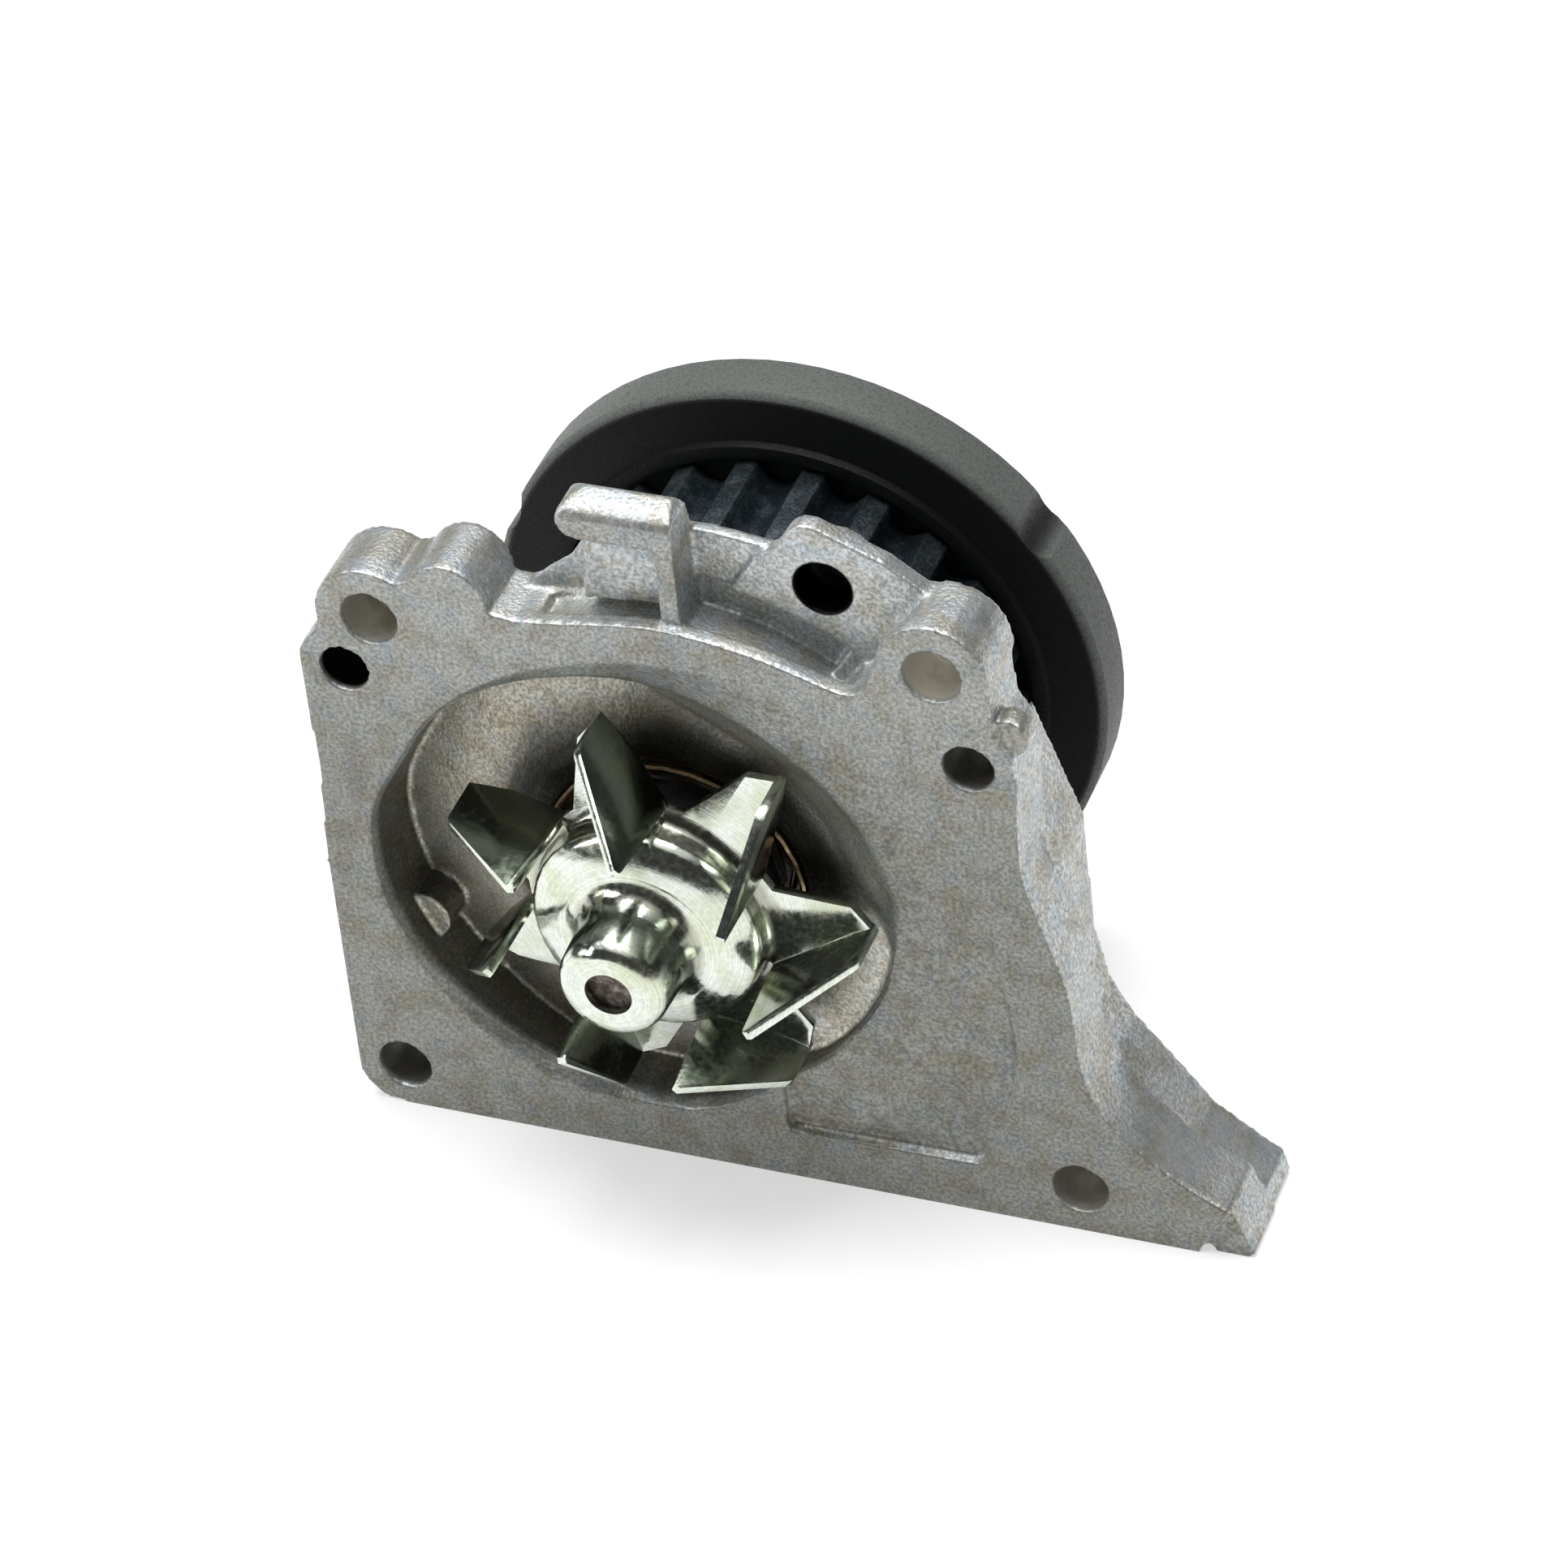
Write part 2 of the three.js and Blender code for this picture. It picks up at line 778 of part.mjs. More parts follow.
function pulley() {
  const teeth = plate(toothOutline(), TEETH_FRONT, TEETH_BACK);
  const core = turned([
    [SHAFT_RADIUS + 0.05, 48.6],
    [12.5, 48.6],
    [13.2, 49.3],
    [13.2, 51.5],
    [RIM_INNER, 51.5],
    [RIM_INNER, TEETH_BACK - 1],
    [SPIGOT_RADIUS, TEETH_BACK - 1],
    [SPIGOT_RADIUS, 57.6],
    [SPIGOT_RADIUS - 3, 57.6],
    [SPIGOT_RADIUS - 4, 55.6],
    [13.6, 55.6],
    [13.2, 59],
    [12.5, 59.4],
    [SHAFT_RADIUS + 0.05, 59.4],
    [SHAFT_RADIUS + 0.05, 48.6],
  ], 36);
  return teeth.subtract(bar(0, 0, RIM_INNER, TEETH_FRONT - 1, TEETH_BACK + 1, 36)).add(core);
}

function pulleyPlate() {
  let solid = turned(
    [
      [SPIGOT_RADIUS + 0.06, PLATE_FRONT],
      [33.2, PLATE_FRONT],
      [33.5, PLATE_FRONT - 1],
      [35.3, PLATE_FRONT - 1],
      [35.6, PLATE_FRONT],
      [PLATE_RADIUS - 0.9, PLATE_FRONT],
      [PLATE_RADIUS, PLATE_FRONT + 0.9],
      [PLATE_RADIUS, PLATE_BACK - 0.9],
      [PLATE_RADIUS - 0.9, PLATE_BACK],
      [36.5, PLATE_BACK],
      [35.5, 57.6],
      [SPIGOT_RADIUS + 0.06, 57.6],
      [SPIGOT_RADIUS + 0.06, PLATE_FRONT],
    ],
    72,
  );
  for (let i = 0; i < NOTCHES; i += 1) {
    const place = { r: PLATE_RADIUS + NOTCH_RADIUS - NOTCH_DEPTH, angle: NOTCH_ANGLE + (360 * i) / NOTCHES };
    const [x, z] = polar(place);
    solid = solid.subtract(bar(x, z, NOTCH_RADIUS, PLATE_FRONT - 1, PLATE_BACK + 1, 32));
  }
  return solid;
}

const group = new THREE.Group();

function put(name, solid, color, metalness, roughness) {
  const mesh = solid.getMesh();
  const geometry = new THREE.BufferGeometry();
  geometry.setAttribute("position", new THREE.BufferAttribute(mesh.vertProperties, 3));
  geometry.setIndex(new THREE.BufferAttribute(mesh.triVerts, 1));
  geometry.computeVertexNormals();
  const material = new THREE.MeshStandardMaterial({ color, metalness, roughness });
  const node = new THREE.Mesh(geometry, material);
  node.name = name;
  group.add(node);
}

put("housing", housing(), 0xa8a9a8, 0.7, 0.6);
put("shaft", shaft(), 0x8c8a86, 1, 0.4);
put("bearing_outer_ring", bearingRing(), 0xb4b6b8, 1, 0.3);
put("bearing_seal_front", bearingSeal(21), 0x1c1c1c, 0, 0.8);
put("bearing_seal_rear", bearingSeal(45.6), 0x1c1c1c, 0, 0.8);
for (const [side, row] of [
  ["front", ROW_FRONT],
  ["rear", ROW_BACK],
]) {
  put("cage_" + side, cage(row), 0x3a4a3c, 0, 0.6);
  for (let i = 0; i < BALLS; i += 1) {
    put("ball_" + side + "_" + (i + 1), ball(row, i), 0xd0d2d4, 1, 0.15);
  }
}
put("slinger", slinger(), 0x9a9c9e, 1, 0.4);
put("seal_cup", sealCup(), 0xb08d4a, 1, 0.4);
put("seal_bellows", sealBellows(), 0x181818, 0, 0.8);
put("seal_spring", sealSpring(), 0xa6a8aa, 1, 0.35);
put("seal_carbon_ring", carbonRing(), 0x2a2a2c, 0.1, 0.5);
put("seal_mating_ring", ring(9.3, 12.8, -2.4, 1.5), 0xe6e0d2, 0, 0.4);
put("seal_boot", sealBoot(), 0x161616, 0, 0.8);
put("impeller", impeller(), 0xc9ccc2, 1, 0.25);
put("pulley", pulley(), 0x3b4046, 0.8, 0.5);
put("pulley_plate", pulleyPlate(), 0x2c2e30, 0.6, 0.6);

export default group;
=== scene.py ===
import math

import bpy
from mathutils import Matrix, Vector


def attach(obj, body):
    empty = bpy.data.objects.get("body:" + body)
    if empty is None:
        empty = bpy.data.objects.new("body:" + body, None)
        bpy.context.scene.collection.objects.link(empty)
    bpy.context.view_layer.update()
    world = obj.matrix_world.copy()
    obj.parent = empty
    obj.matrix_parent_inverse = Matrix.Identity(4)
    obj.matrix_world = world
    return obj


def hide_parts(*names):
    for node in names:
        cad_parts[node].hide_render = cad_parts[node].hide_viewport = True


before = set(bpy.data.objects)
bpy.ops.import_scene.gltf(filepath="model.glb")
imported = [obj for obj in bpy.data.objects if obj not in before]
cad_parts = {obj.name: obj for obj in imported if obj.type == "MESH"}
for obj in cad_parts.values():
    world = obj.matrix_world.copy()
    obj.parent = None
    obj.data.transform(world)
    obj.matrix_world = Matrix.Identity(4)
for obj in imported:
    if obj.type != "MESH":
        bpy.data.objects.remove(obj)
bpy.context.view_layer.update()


# ---------------------------------------------------------------- table, light and camera
# The pump stands on its flat bottom edge on a white table. One broad soft lamp hangs above it, a small
# one stands to the left, and only the room's ceiling is bright, so that upright metal stays dark.
TABLE_HEIGHT = -0.0448

bpy.ops.object.select_all(action="DESELECT")
bpy.ops.mesh.primitive_plane_add(size=12, location=(0, 0, TABLE_HEIGHT))
table = bpy.context.object
table.name = "table_top"
bpy.ops.object.transform_apply(location=True)

table_white = bpy.data.materials.new("table_white")
table_white.use_nodes = True
surface = table_white.node_tree.nodes["Principled BSDF"]
surface.inputs["Base Color"].default_value = (0.55, 0.55, 0.55, 1)
surface.inputs["Emission Color"].default_value = (1, 1, 1, 1)
surface.inputs["Emission Strength"].default_value = 0.5
surface.inputs["Roughness"].default_value = 0.9
surface.inputs["Specular IOR Level"].default_value = 0.1
table.data.materials.append(table_white)


def ramp(tree, value, low, high, out_low=0.0, out_high=1.0):
    node = tree.nodes.new("ShaderNodeMapRange")
    node.interpolation_type = "SMOOTHSTEP"
    node.inputs["From Min"].default_value = low
    node.inputs["From Max"].default_value = high
    node.inputs["To Min"].default_value = out_low
    node.inputs["To Max"].default_value = out_high
    tree.links.new(value, node.inputs["Value"])
    return node.outputs["Result"]


def number(tree, kind, a, b):
    node = tree.nodes.new("ShaderNodeMath")
    node.operation = kind
    for socket, value in zip(node.inputs, (a, b)):
        if isinstance(value, (int, float)):
            socket.default_value = value
        else:
            tree.links.new(value, socket)
    return node.outputs["Value"]


room = bpy.data.worlds.new("studio_room")
room.use_nodes = True
sky = room.node_tree
ways = sky.nodes.new("ShaderNodeSeparateXYZ")
sky.links.new(sky.nodes.new("ShaderNodeTexCoord").outputs["Generated"], ways.inputs["Vector"])
height = ramp(sky, ways.outputs["Z"], 0.70, 0.97, 0.05, 1.1)
seen = sky.nodes.new("ShaderNodeLightPath").outputs["Is Camera Ray"]
glow = number(sky, "MAXIMUM", height, seen)
sky.links.new(glow, sky.nodes["Background"].inputs["Strength"])
sky.nodes["Background"].inputs["Color"].default_value = (1, 1, 1, 1)
bpy.context.scene.world = room
bpy.context.scene.view_settings.view_transform = "Standard"

bpy.ops.object.select_all(action="DESELECT")
bpy.ops.object.light_add(type="SUN", location=(0, 0.5, 1))
overhead = bpy.context.object
overhead.name = "overhead_light"
overhead.data.energy = 2.9
overhead.data.angle = math.radians(42)
overhead.rotation_euler = Vector((0.14, -0.10, -1)).to_track_quat("-Z", "Y").to_euler()

bpy.ops.object.light_add(type="AREA", location=(-0.62, -0.38, 0.42))
side_lamp = bpy.context.object
side_lamp.name = "side_light"
side_lamp.data.shape = "RECTANGLE"
side_lamp.data.size = 0.28
side_lamp.data.size_y = 0.5
side_lamp.data.energy = 2.2
side_lamp.rotation_euler = Vector((0.62, 0.38, -0.42)).to_track_quat("-Z", "Y").to_euler()

bpy.ops.object.select_all(action="DESELECT")
bpy.ops.object.camera_add()
camera = bpy.context.object
camera.data.sensor_width = 36
camera.data.lens = 149.0
camera.data.clip_start = 0.01
right = Vector((0.93726, 0.34030, -0.07572))
up = Vector((-0.15936, 0.61139, 0.77512))
turn = Matrix((right, up, right.cross(up))).transposed().to_4x4()
camera.matrix_world = Matrix.Translation((0.2695, -0.5789, 0.5307)) @ turn
bpy.context.scene.camera = camera


# ---------------------------------------------------------------- housing
# One aluminium die casting with a shot-blasted skin and rounded edges. Its front faces are darker than
# its sides, partly a linished finish and partly painted shade, and lighter towards the top. In the
# hollow
# shade is painted in: near black around the shaft and dark on its low and left walls, while its floor
# is painted lighter, most on the right, and each hole's inside is painted to a set lightness.
def blend(tree, factor, a, b, kind="MIX"):
    node = tree.nodes.new("ShaderNodeMix")
    node.data_type = "RGBA"
    node.blend_type = kind
    for name, value in (("Factor", factor), ("A", a), ("B", b)):
        socket = [s for s in node.inputs if s.name == name and s.enabled][0]
        if isinstance(value, (int, float)):
            socket.default_value = value
        elif isinstance(value, tuple):
            socket.default_value = (*value, 1)
        else:
            tree.links.new(value, socket)
    return [s for s in node.outputs if s.enabled][0]


def speckle(tree, place, scale, detail=2.0, roughness=0.5):
    node = tree.nodes.new("ShaderNodeTexNoise")
    node.inputs["Detail"].default_value = detail
    node.inputs["Roughness"].default_value = roughness
    tree.links.new(place, node.inputs["Vector"])
    if isinstance(scale, (int, float)):
        node.inputs["Scale"].default_value = scale
    else:
        tree.links.new(scale, node.inputs["Scale"])
    return node.outputs["Fac"]


def new_group(name, inputs, outputs):
    group = bpy.data.node_groups.new(name, "ShaderNodeTree")
    for label, kind, value in inputs:
        socket = group.interface.new_socket(label, in_out="INPUT", socket_type=kind)
        if value is not None:
            socket.default_value = value
    for label, kind in outputs:
        group.interface.new_socket(label, in_out="OUTPUT", socket_type=kind)
    return group, group.nodes.new("NodeGroupInput").outputs, group.nodes.new("NodeGroupOutput").inputs


# Fine mottling over a tone, with a wider cloud of a second tone. Every metal on the pump uses it.
mottle, given, result = new_group(
    "metal_mottle",
    [
        ("Place", "NodeSocketVector", None),
        ("Tone", "NodeSocketColor", (0.4, 0.4, 0.4, 1)),
        ("Cloud Tone", "NodeSocketColor", (0.9, 0.8, 0.7, 1)),
        ("Grain Size", "NodeSocketFloat", 2200.0),
        ("Grain Depth", "NodeSocketFloat", 0.3),
        ("Cloud Size", "NodeSocketFloat", 160.0),
        ("Cloud Depth", "NodeSocketFloat", 0.4),
    ],
    [("Color", "NodeSocketColor"), ("Grain", "NodeSocketFloat"), ("Cloud", "NodeSocketFloat")],
)
grain = speckle(mottle, given["Place"], given["Grain Size"], 3, 0.6)
cloud = ramp(mottle, speckle(mottle, given["Place"], given["Cloud Size"], 3, 0.6), 0.42, 0.66)
light = ramp(mottle, grain, 0.30, 0.72, -0.5, 0.5)
gain = number(mottle, "ADD", 1.0, number(mottle, "MULTIPLY", light, given["Grain Depth"]))
scaled = mottle.nodes.new("ShaderNodeVectorMath")
scaled.operation = "SCALE"
mottle.links.new(given["Tone"], scaled.inputs[0])
mottle.links.new(gain, scaled.inputs["Scale"])
amount = number(mottle, "MULTIPLY", cloud, given["Cloud Depth"])
tone = blend(mottle, amount, scaled.outputs["Vector"], given["Cloud Tone"], "MULTIPLY")
mottle.links.new(tone, result["Color"])
mottle.links.new(grain, result["Grain"])
mottle.links.new(cloud, result["Cloud"])


def bare_material(name, metallic, roughness):
    material = bpy.data.materials.new(name)
    material.use_nodes = True
    tree = material.node_tree
    surface = tree.nodes["Principled BSDF"]
    surface.inputs["Metallic"].default_value = metallic
    surface.inputs["Roughness"].default_value = roughness
    place = tree.nodes.new("ShaderNodeTexCoord").outputs["Object"]
    return material, tree, surface, place


def mottled(tree, place, tone, cloud_tone, grain_size, grain_depth, cloud_size, cloud_depth):
    group = tree.nodes.new("ShaderNodeGroup")
    group.node_tree = mottle
    tree.links.new(place, group.inputs["Place"])
    for name, value in (("Tone", tone), ("Cloud Tone", cloud_tone)):
        if isinstance(value, tuple):
            group.inputs[name].default_value = (*value, 1)
        else:
            tree.links.new(value, group.inputs[name])
    for name, value in (
        ("Grain Size", grain_size),
        ("Grain Depth", grain_depth),
        ("Cloud Size", cloud_size),
        ("Cloud Depth", cloud_depth),
    ):
        group.inputs[name].default_value = value
    return group.outputs


def roughen(tree, surface, height, distance, strength=0.5):
    bump = tree.nodes.new("ShaderNodeBump")
    bump.inputs["Strength"].default_value = strength
    bump.inputs["Distance"].default_value = distance
    tree.links.new(height, bump.inputs["Height"])
    tree.links.new(bump.outputs["Normal"], surface.inputs["Normal"])


def product(tree, first, *others):
    for other in others:
        first = number(tree, "MULTIPLY", first, other)
    return first


def axes_of(tree, vector):
    split = tree.nodes.new("ShaderNodeSeparateXYZ")
    tree.links.new(vector, split.inputs["Vector"])
    return split.outputs


def from_axis(tree, place):
    axes = axes_of(tree, place)
    across = number(tree, "POWER", axes["X"], 2.0)
    upward = number(tree, "POWER", axes["Z"], 2.0)
    return number(tree, "SQRT", number(tree, "ADD", across, upward), 0.0), axes["Y"]


def facing_along_shaft(tree):
    return axes_of(tree, tree.nodes.new("ShaderNodeNewGeometry").outputs["Normal"])["Y"]


def facing_sideways(tree, facing, flat, upright):
    return ramp(tree, number(tree, "ABSOLUTE", facing, 0.0), flat, upright, 1, 0)


# Each hole in the front: its centre, X and Z, how far out its painted inside reaches, and the lightness
# painted inside it, low for painted shade and high for painted light.
FRONT_HOLES = [
    (-0.0364, 0.0379, 0.0040, 0.80),
    (-0.0409, 0.0291, 0.0035, 0.010),
    (0.0390, 0.0434, 0.0040, 1.0),
    (0.0429, 0.0297, 0.0036, 0.28),
    (-0.0406, -0.0380, 0.0040, 0.30),
    (0.0541, -0.0377, 0.0040, 0.70),
    (0.0230, 0.0490, 0.0039, 0.006),
]
HOLE_PAINT_EDGE = 0.0003
HOLLOW_RADIUS = 0.042
HOLLOW_DEPTH = 0.015
FADE = 0.0005

material, tree, surface, place = bare_material("die_cast_aluminium", 0.8, 0.45)
radius, along = from_axis(tree, place)
facing = facing_along_shaft(tree)
spot = axes_of(tree, place)

sideways = facing_sideways(tree, facing, 0.25, 0.75)
frontal = ramp(tree, facing, -0.85, -0.55, 1, 0)
# Front faces near the mounting plane are painted darker than the sides: partly a linished finish, partly
# painted shade.
front_finish_and_shade = product(tree, frontal, ramp(tree, along, 0.0028, 0.0050, 1, 0))
hollow = product(
    tree,
    ramp(tree, radius, HOLLOW_RADIUS - FADE, HOLLOW_RADIUS + FADE, 1, 0),
    ramp(tree, along, HOLLOW_DEPTH - 0.0002, HOLLOW_DEPTH + 0.0002, 1, 0),
)
floor = product(tree, hollow, ramp(tree, along, 0.0003, 0.0060))
low = ramp(tree, spot["Z"], -0.012, 0.002, 1, 0)
left = ramp(tree, spot["X"], -0.030, -0.022, 1, 0)
# Painted shade: the low and left walls of the hollow are painted near black.
painted_wall_shade = product(
    tree, hollow, ramp(tree, along, 0.0008, 0.0030), sideways, number(tree, "MAXIMUM", low, left), 0.8
)
# Painted shade: the hollow around the shaft is painted near black.
painted_shade_round_shaft = product(tree, hollow, ramp(tree, radius, 0.0215, 0.0300, 1, 0), 0.95)

# The front faces are lighter towards the top.
upper = ramp(tree, spot["Z"], 0.008, 0.045)
face_tone = blend(tree, upper, (0.255, 0.26, 0.24), (0.36, 0.37, 0.355))
# Painted light: the hollow's floor is painted lighter, and lighter still towards the right, where its
# slopes turn from the light.
right_side = ramp(tree, spot["X"], 0.004, 0.026)
floor_painted_light = blend(tree, right_side, (0.54, 0.52, 0.45), (0.88, 0.87, 0.79))
tone = blend(tree, front_finish_and_shade, (0.52, 0.54, 0.535), face_tone)
tone = blend(tree, floor, tone, floor_painted_light)
tone = blend(tree, painted_wall_shade, tone, (0.035, 0.035, 0.03))
tone = blend(tree, painted_shade_round_shaft, tone, (0.008, 0.008, 0.007))
skin = mottled(tree, place, tone, (0.74, 0.66, 0.52), 1900.0, 0.6, 210.0, 0.6)
blue = ramp(tree, speckle(tree, place, 300.0, 2, 0.5), 0.50, 0.64, 0, 0.45)
tone = blend(tree, blue, skin["Color"], (0.74, 0.85, 0.98), "MULTIPLY")

not_rear = ramp(tree, facing, 0.3, 0.7, 1, 0)
patchy = ramp(tree, skin["Cloud"], 0.2, 0.9, 0.0, 0.4)
for x, z, reach, shade in FRONT_HOLES:
    centre = tree.nodes.new("ShaderNodeVectorMath")
    centre.operation = "SUBTRACT"
    centre.inputs[1].default_value = (x, 0, z)
    tree.links.new(place, centre.inputs[0])
    off_centre, depth = from_axis(tree, centre.outputs["Vector"])
    bore = product(
        tree,
        ramp(tree, off_centre, reach, reach + HOLE_PAINT_EDGE, 1, 0),
        ramp(tree, depth, 0.0003, 0.0012),
        not_rear,
    )
    # Painted light and shade: each hole's inside takes its listed lightness, with its walls painted
    # darker than its end as painted shade.
    shaded_side_tone = (shade * 0.8, shade * 0.78, shade * 0.72)
    end_tone = (shade, shade * 0.98, shade * 0.90)
    cast = blend(tree, patchy, blend(tree, frontal, shaded_side_tone, end_tone), (0.60, 0.54, 0.47), "MULTIPLY")
    tone = blend(tree, bore, tone, cast)
tree.links.new(tone, surface.inputs["Base Color"])
tree.links.new(ramp(tree, skin["Grain"], 0.3, 0.7, 0.54, 0.38), surface.inputs["Roughness"])
roughen(tree, surface, skin["Grain"], 0.0002, 0.6)
die_cast = material


def copy_of(node, name):
    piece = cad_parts[node].copy()
    piece.data = piece.data.copy()
    piece.name = name
    piece.data.name = name
    bpy.context.scene.collection.objects.link(piece)
    bpy.ops.object.select_all(action="DESELECT")
    piece.select_set(True)
    bpy.context.view_layer.objects.active = piece
    bpy.ops.object.mode_set(mode="EDIT")
    bpy.ops.mesh.select_all(action="SELECT")
    bpy.ops.mesh.remove_doubles(threshold=0.000002)
    bpy.ops.mesh.dissolve_limited(angle_limit=math.radians(1.0))
    bpy.ops.object.mode_set(mode="OBJECT")
    piece.data.materials.clear()
    return piece


def apply_modifier(piece, kind, **settings):
    modifier = piece.modifiers.new("step", kind)
    for name, value in settings.items():
        setattr(modifier, name, value)
    bpy.ops.object.modifier_apply(modifier="step")


def hand_over(piece, material, body, slot, *nodes):
    piece.data.materials.append(material)
    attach(piece, body)
    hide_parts(*nodes)


HOUSING_TRIANGLES = 190000

casting = copy_of("housing", "housing_casting")
apply_modifier(casting, "REMESH", mode="VOXEL", voxel_size=0.0004)
apply_modifier(casting, "SMOOTH", factor=0.5, iterations=3)
share = HOUSING_TRIANGLES / (2 * len(casting.data.polygons))
apply_modifier(casting, "DECIMATE", decimate_type="COLLAPSE", ratio=share)
bpy.ops.object.shade_smooth_by_angle(angle=math.radians(60))
hand_over(casting, die_cast, "housing", "cast_housing", "housing")


# ---------------------------------------------------------------- shaft bearing
# An integral double-row bearing: ground steel ring and balls, glass-filled nylon cages and a rubber
# lip seal at each end. The ring is pressed into the housing's rear neck.
def finish_nodes(names, material):
    for name in names:
        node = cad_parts[name]
        node.data.materials.clear()
        node.data.materials.append(material)


material, tree, surface, place = bare_material("ground_steel", 1.0, 0.25)
skin = mottled(tree, place, (0.62, 0.62, 0.62), (0.75, 0.78, 0.82), 900.0, 0.2, 120.0, 0.5)
tree.links.new(skin["Color"], surface.inputs["Base Color"])
tree.links.new(ramp(tree, skin["Grain"], 0.3, 0.7, 0.18, 0.32), surface.inputs["Roughness"])
roughen(tree, surface, skin["Grain"], 0.00002, 0.3)
finish_nodes(["bearing_outer_ring"], material)
polished = material.copy()
polished.name = "polished_ball_steel"
finish_nodes(["ball_%s_%d" % (row, i) for row in ("front", "rear") for i in range(1, 8)], polished)

material, tree, surface, place = bare_material("cage_nylon", 0.0, 0.55)
skin = mottled(tree, place, (0.07, 0.11, 0.075), (0.6, 0.7, 0.6), 1500.0, 0.3, 200.0, 0.5)
tree.links.new(skin["Color"], surface.inputs["Base Color"])
roughen(tree, surface, skin["Grain"], 0.00005, 0.4)
finish_nodes(["cage_front", "cage_rear"], material)

material, tree, surface, place = bare_material("black_rubber", 0.0, 0.7)
skin = mottled(tree, place, (0.022, 0.022, 0.023), (0.7, 0.7, 0.75), 2600.0, 0.5, 300.0, 0.6)
tree.links.new(skin["Color"], surface.inputs["Base Color"])
tree.links.new(ramp(tree, skin["Cloud"], 0, 1, 0.62, 0.8), surface.inputs["Roughness"])
roughen(tree, surface, skin["Grain"], 0.00005, 0.5)
finish_nodes(["bearing_seal_front", "bearing_seal_rear", "seal_bellows", "seal_boot"], material)


# ---------------------------------------------------------------- face seal
# A drawn brass cup pressed into the housing holds a rubber bellows, a coil spring and a carbon ring,
# which rubs on a white ceramic ring that turns with the shaft.
material, tree, surface, place = bare_material("drawn_brass", 1.0, 0.3)
skin = mottled(tree, place, (0.42, 0.32, 0.20), (0.40, 0.34, 0.30), 1200.0, 0.35, 260.0, 0.8)
tree.links.new(skin["Color"], surface.inputs["Base Color"])
tree.links.new(ramp(tree, skin["Cloud"], 0, 1, 0.24, 0.45), surface.inputs["Roughness"])
roughen(tree, surface, skin["Grain"], 0.00004, 0.4)
cup = copy_of("seal_cup", "seal_cup_pressing")
bpy.ops.object.shade_smooth_by_angle(angle=math.radians(35))
hand_over(cup, material, "housing", "seal_brass", "seal_cup")

material, tree, surface, place = bare_material("spring_wire", 1.0, 0.3)
skin = mottled(tree, place, (0.50, 0.49, 0.47), (0.8, 0.75, 0.7), 1400.0, 0.3, 300.0, 0.5)
tree.links.new(skin["Color"], surface.inputs["Base Color"])
roughen(tree, surface, skin["Grain"], 0.00003, 0.4)
finish_nodes(["seal_spring", "slinger"], material)

material, tree, surface, place = bare_material("seal_carbon", 0.1, 0.4)
skin = mottled(tree, place, (0.035, 0.035, 0.038), (0.8, 0.8, 0.85), 3000.0, 0.5, 250.0, 0.4)
tree.links.new(skin["Color"], surface.inputs["Base Color"])
roughen(tree, surface, skin["Grain"], 0.00003, 0.3)
finish_nodes(["seal_carbon_ring"], material)

material, tree, surface, place = bare_material("seal_ceramic", 0.0, 0.25)
skin = mottled(tree, place, (0.78, 0.74, 0.66), (0.92, 0.88, 0.8), 1600.0, 0.08, 220.0, 0.5)
tree.links.new(skin["Color"], surface.inputs["Base Color"])
tree.links.new(ramp(tree, skin["Cloud"], 0, 1, 0.2, 0.35), surface.inputs["Roughness"])
finish_nodes(["seal_mating_ring"], material)


# ---------------------------------------------------------------- shaft
# Ground bearing steel, running from the impeller's nose to the pulley. Its two ends are bare and carry
# a brown bloom of rust.
material, tree, surface, place = bare_material("shaft_steel", 1.0, 0.3)
radius, along = from_axis(tree, place)
front_end = ramp(tree, along, -0.0180, -0.0172, 1, 0)
rear_end = ramp(tree, along, 0.0592, 0.0602, 0, 0.55)
bloom = speckle(tree, place, 900.0, 4, 0.7)
ends = number(tree, "MAXIMUM", front_end, rear_end)
rust = product(tree, ends, ramp(tree, bloom, 0.32, 0.6, 0.5, 1))
steel = mottled(tree, place, (0.52, 0.51, 0.49), (0.8, 0.78, 0.72), 1100.0, 0.3, 200.0, 0.4)
tree.links.new(blend(tree, rust, steel["Color"], (0.075, 0.045, 0.03)), surface.inputs["Base Color"])
tree.links.new(ramp(tree, rust, 0, 1, 1, 0.4), surface.inputs["Metallic"])
tree.links.new(ramp(tree, rust, 0, 1, 0.26, 0.6), surface.inputs["Roughness"])
roughen(tree, surface, bloom, 0.00006, 0.5)
spindle = copy_of("shaft", "shaft_spindle")
bpy.ops.object.shade_smooth_by_angle(angle=math.radians(35))
hand_over(spindle, material, "rotor", "shaft_steel", "shaft")


# ---------------------------------------------------------------- impeller
# Pressed from one steel sheet: a drawn nose and dish, flat arms and folded blades. Bright zinc over a
# spun dish. The upright faces of the blades and the nose are painted dark green as painted shade and
# reflection, the blades darkest towards the left, and the dish is darker in rings at the nose and its
# edge.
def soften_edges(piece, sharper_than, width, segments):
    limit = math.radians(sharper_than)
    apply_modifier(
        piece, "BEVEL", limit_method="ANGLE", angle_limit=limit, width=width, segments=segments
    )


material, tree, surface, place = bare_material("bright_zinc", 1.0, 0.18)
skin = mottled(tree, place, (0.76, 0.79, 0.74), (0.86, 0.86, 0.70), 1300.0, 0.22, 140.0, 0.8)
radius, along = from_axis(tree, place)
rings = tree.nodes.new("ShaderNodeTexNoise")
rings.noise_dimensions = "1D"
rings.inputs["Scale"].default_value = 5200.0
tree.links.new(radius, rings.inputs["W"])
ringed = ramp(tree, rings.outputs["Fac"], 0.35, 0.65, 0.0, 0.45)
tone = blend(tree, ringed, skin["Color"], (0.58, 0.66, 0.56), "MULTIPLY")

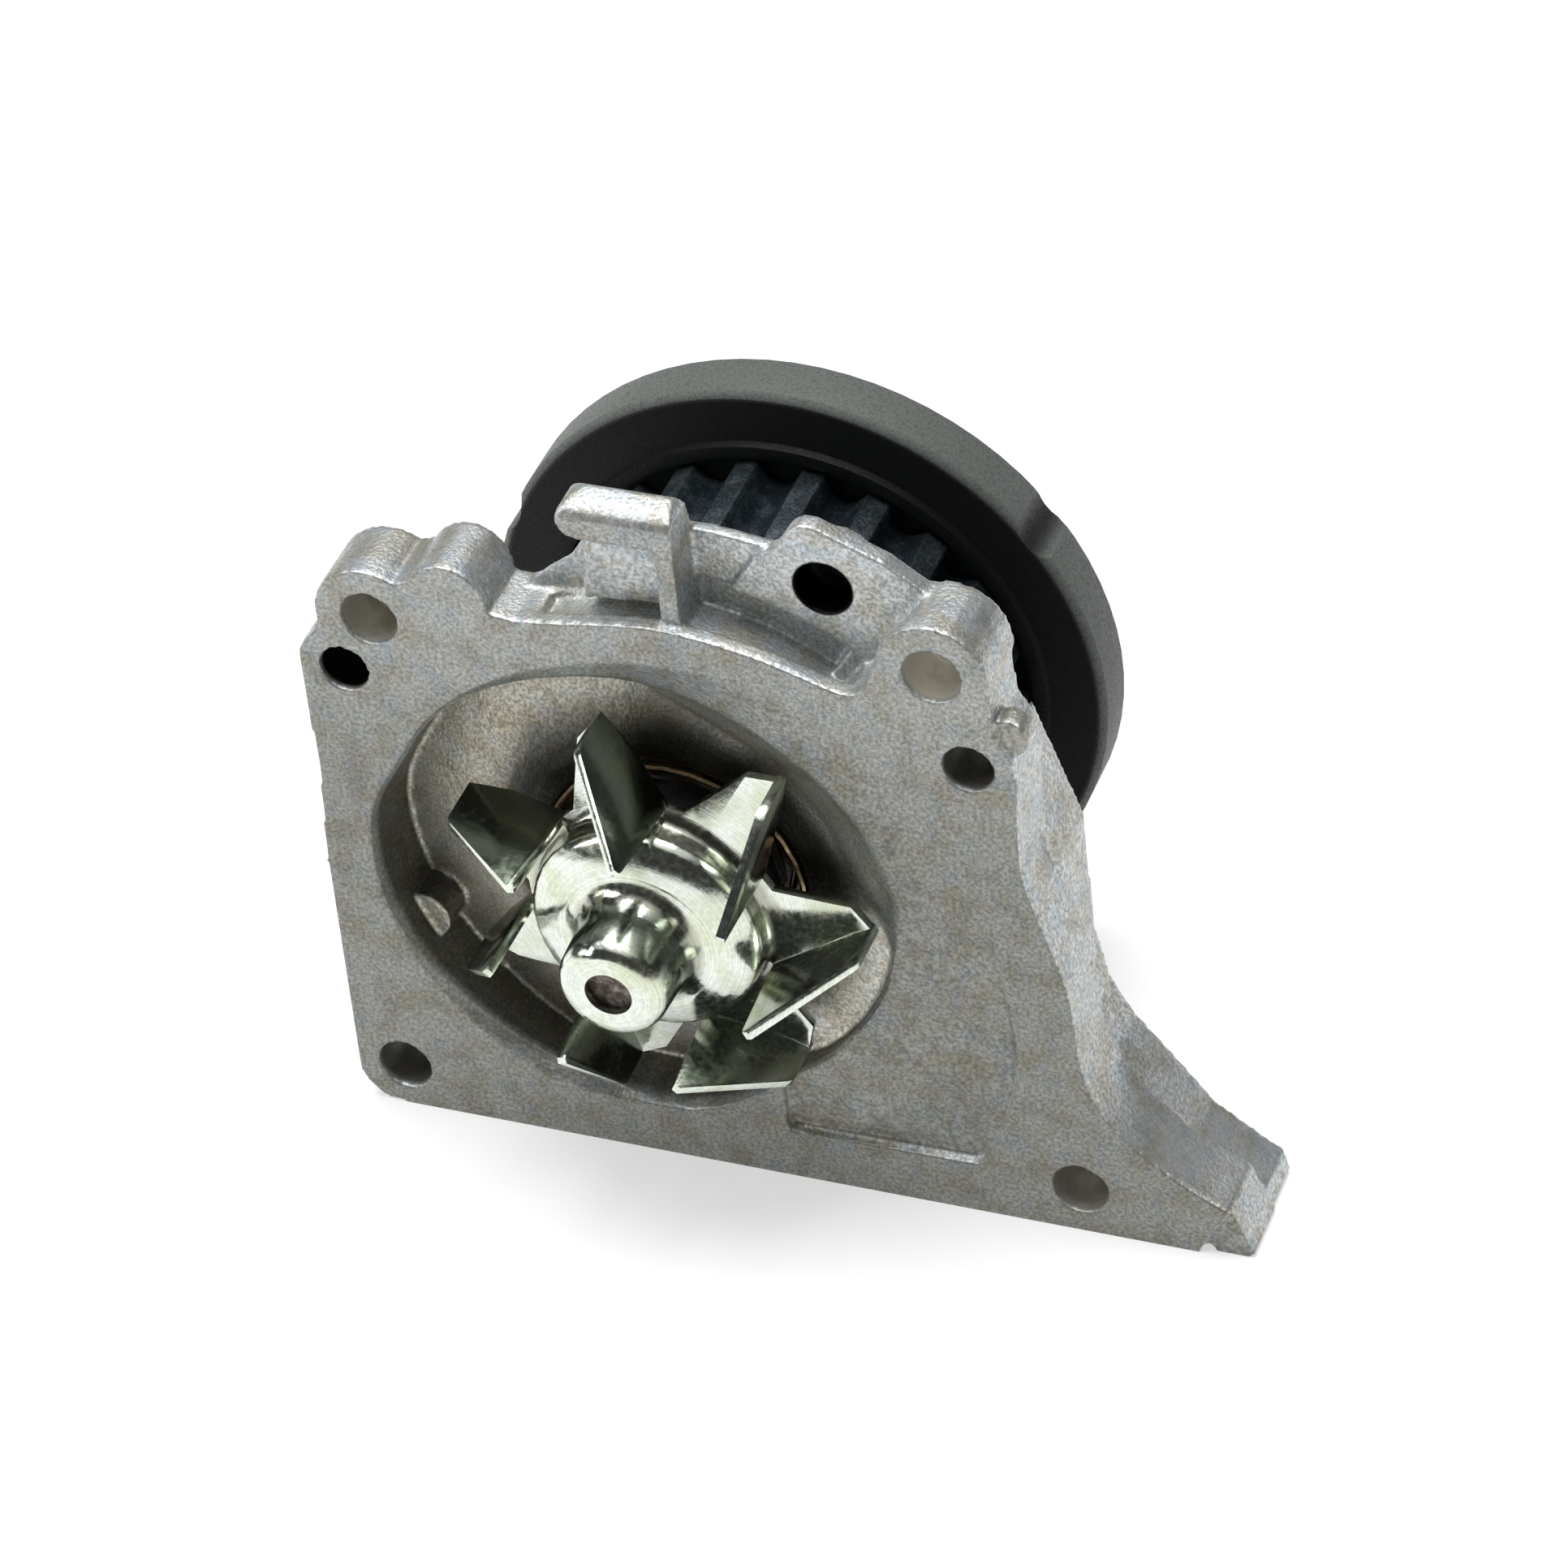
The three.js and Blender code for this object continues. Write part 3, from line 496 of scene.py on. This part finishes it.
# The dish is darkened in two rings, at the nose's crease and at the dish's edge.
nose_crease = product(
    tree, ramp(tree, radius, 0.0073, 0.0075), ramp(tree, radius, 0.0096, 0.0080, 0, 1)
)
dish_edge = product(
    tree, ramp(tree, radius, 0.0150, 0.0156), ramp(tree, radius, 0.0176, 0.0163, 0, 1)
)
crease_darkening = product(tree, number(tree, "MAXIMUM", nose_crease, dish_edge), 0.55)
tone = blend(tree, crease_darkening, tone, (0.16, 0.14, 0.10))

# Painted shade and reflection: the upright faces of the blades and nose are painted dark green, the
# blades more towards the left.
upright = facing_sideways(tree, facing_along_shaft(tree), 0.2, 0.6)
shade_towards_left = ramp(tree, axes_of(tree, place)["X"], 0.004, 0.020, 0.95, 0.45)
blades = product(tree, upright, ramp(tree, radius, 0.0166, 0.0182), shade_towards_left)
nose = product(tree, upright, ramp(tree, radius, 0.0088, 0.0100, 1, 0), 0.85)
tone = blend(tree, blades, tone, (0.16, 0.19, 0.15))
tone = blend(tree, nose, tone, (0.27, 0.31, 0.26))
tree.links.new(tone, surface.inputs["Base Color"])
grain_wear = ramp(tree, skin["Grain"], 0.3, 0.75, 0.10, 0.22)
cloud_wear = ramp(tree, skin["Cloud"], 0, 1, 0, 0.08)
tree.links.new(number(tree, "ADD", grain_wear, cloud_wear), surface.inputs["Roughness"])
relief = number(tree, "ADD", skin["Grain"], product(tree, rings.outputs["Fac"], 0.35))
roughen(tree, surface, relief, 0.00004, 0.35)
pressing = copy_of("impeller", "impeller_pressing")
soften_edges(pressing, 50, 0.00016, 2)
bpy.ops.object.shade_smooth_by_angle(angle=math.radians(35))
hand_over(pressing, material, "rotor", "impeller_zinc", "impeller")


# ---------------------------------------------------------------- belt wheel
# A sintered steel wheel, steam treated to a dark blue-grey skin, with narrow lands between
# round-bottomed grooves. It is pressed on the shaft's rear end.
material, tree, surface, place = bare_material("steam_oxide", 0.8, 0.45)
skin = mottled(tree, place, (0.030, 0.042, 0.052), (1.5, 1.5, 1.45), 2400.0, 0.7, 300.0, 0.6)
radius, along = from_axis(tree, place)
lands = ramp(tree, radius, 0.0318, 0.0326)
rubbed = product(tree, lands, ramp(tree, skin["Grain"], 0.4, 0.65, 0.2, 0.8))
tree.links.new(blend(tree, rubbed, skin["Color"], (0.10, 0.12, 0.13)), surface.inputs["Base Color"])
tree.links.new(ramp(tree, skin["Cloud"], 0, 1, 0.38, 0.55), surface.inputs["Roughness"])
roughen(tree, surface, skin["Grain"], 0.0001, 0.5)
wheel = copy_of("pulley", "belt_wheel")
soften_edges(wheel, 40, 0.00025, 2)
bpy.ops.object.shade_smooth_by_angle(angle=math.radians(35))
hand_over(wheel, material, "rotor", "pulley_oxide", "pulley")


# ---------------------------------------------------------------- guide plate
# A thick steel disc behind the teeth that keeps the belt on, with shallow notches in its rim.
# Coated matt black, with the rim painted grey as painted light, for the light it catches from above.
material, tree, surface, place = bare_material("matt_black_coat", 0.1, 0.6)
surface.inputs["Specular IOR Level"].default_value = 0.2
radius, along = from_axis(tree, place)
skin = mottled(tree, place, (0.0045, 0.0055, 0.005), (0.8, 0.85, 0.85), 2300.0, 0.6, 240.0, 0.5)
# Painted light: the rim band is painted a speckled grey for the light it catches from above.
rim = ramp(tree, radius, 0.0415, 0.0431)
rim_painted_light = product(tree, rim, ramp(tree, skin["Grain"], 0.3, 0.6, 0.65, 1))
tree.links.new(blend(tree, rim_painted_light, skin["Color"], (0.135, 0.145, 0.135)), surface.inputs["Base Color"])
tree.links.new(ramp(tree, skin["Grain"], 0.3, 0.7, 0.62, 0.45), surface.inputs["Roughness"])
roughen(tree, surface, skin["Grain"], 0.00012, 0.5)
guide = copy_of("pulley_plate", "guide_plate")
soften_edges(guide, 30, 0.0004, 3)
bpy.ops.object.shade_smooth_by_angle(angle=math.radians(35))
hand_over(guide, material, "rotor", "plate_black", "pulley_plate")
